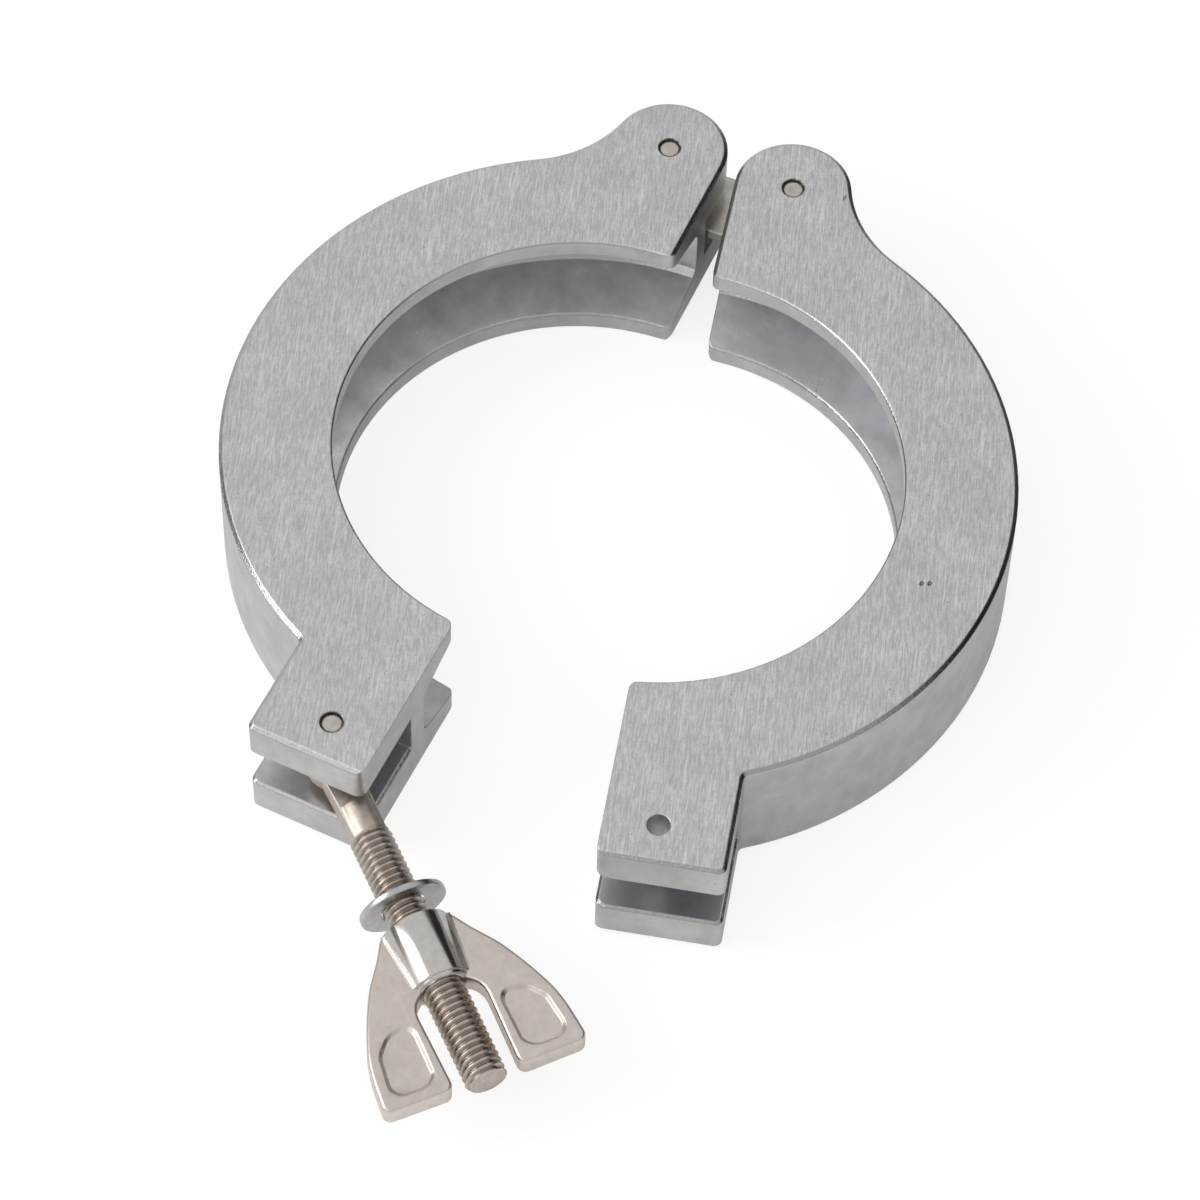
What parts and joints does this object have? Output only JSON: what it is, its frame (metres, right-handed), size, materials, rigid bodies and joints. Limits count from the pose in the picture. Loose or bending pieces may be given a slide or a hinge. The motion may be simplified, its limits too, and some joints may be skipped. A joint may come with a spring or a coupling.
{
  "type": "vacuum flange clamp",
  "caption": "Hinged ring clamp for vacuum flanges: cast half rings on a link hinge, closed by a swing bolt with a washer and a wing nut, shown open.",
  "frame": {"origin": "centre of the left half's round seat at mid-height", "axes": "+Z along the seat's axis, upwards as the clamp lies; +Y towards the hinge; +X from the left half towards the right one"},
  "size_m": [0.1115, 0.1628, 0.0204],
  "materials": {
    "cast_aluminium": "satin tumbled casting",
    "link_steel": "satin",
    "pin_steel": "turned",
    "plated_bolt": "bright plated",
    "plated_washer": "bright plated",
    "plated_nut": "plated, slightly pitted"
  },
  "bodies": {
    "left_half": {"clamp_half_left": "cast_aluminium", "hinge_pin_left": "pin_steel", "bolt_pin": "pin_steel"},
    "link": {"hinge_link": "link_steel"},
    "right_half": {"clamp_half_right": "cast_aluminium", "hinge_pin_right": "pin_steel"},
    "bolt": {"swing_bolt": "plated_bolt"},
    "washer": {"flat_washer": "plated_washer"},
    "nut": {"wing_nut": "plated_nut"}
  },
  "joints": [
    {"name": "link_swing", "type": "hinge", "parent": "left_half", "child": "link", "pos_m": [-0.0095, 0.05225, 0], "axis": [0, 0, 1], "range_deg": [-2.3, 60]},
    {"name": "half_swing", "type": "hinge", "parent": "link", "child": "right_half", "pos_m": [0.00948, 0.05301, 0], "axis": [0, 0, 1], "range_deg": [-10.2, 60]},
    {"name": "bolt_swing", "type": "hinge", "parent": "left_half", "child": "bolt", "pos_m": [-0.0114, -0.0555, 0], "axis": [0, 0, 1], "range_deg": [-140, 8]},
    {"name": "nut_travel", "type": "slide", "parent": "bolt", "child": "washer", "axis": [0.7424, -0.6699, 0], "range_m": [-0.01, 0.014]},
    {"name": "nut_spin", "type": "hinge", "parent": "washer", "child": "nut", "pos_m": [-0.0114, -0.0555, 0], "axis": [0.7424, -0.6699, 0], "range_deg": [-3601, 5041]}
  ],
  "couplings": [
    {"joint": "nut_spin", "follows": "nut_travel", "rad_per_m": 6283.2}
  ]
}
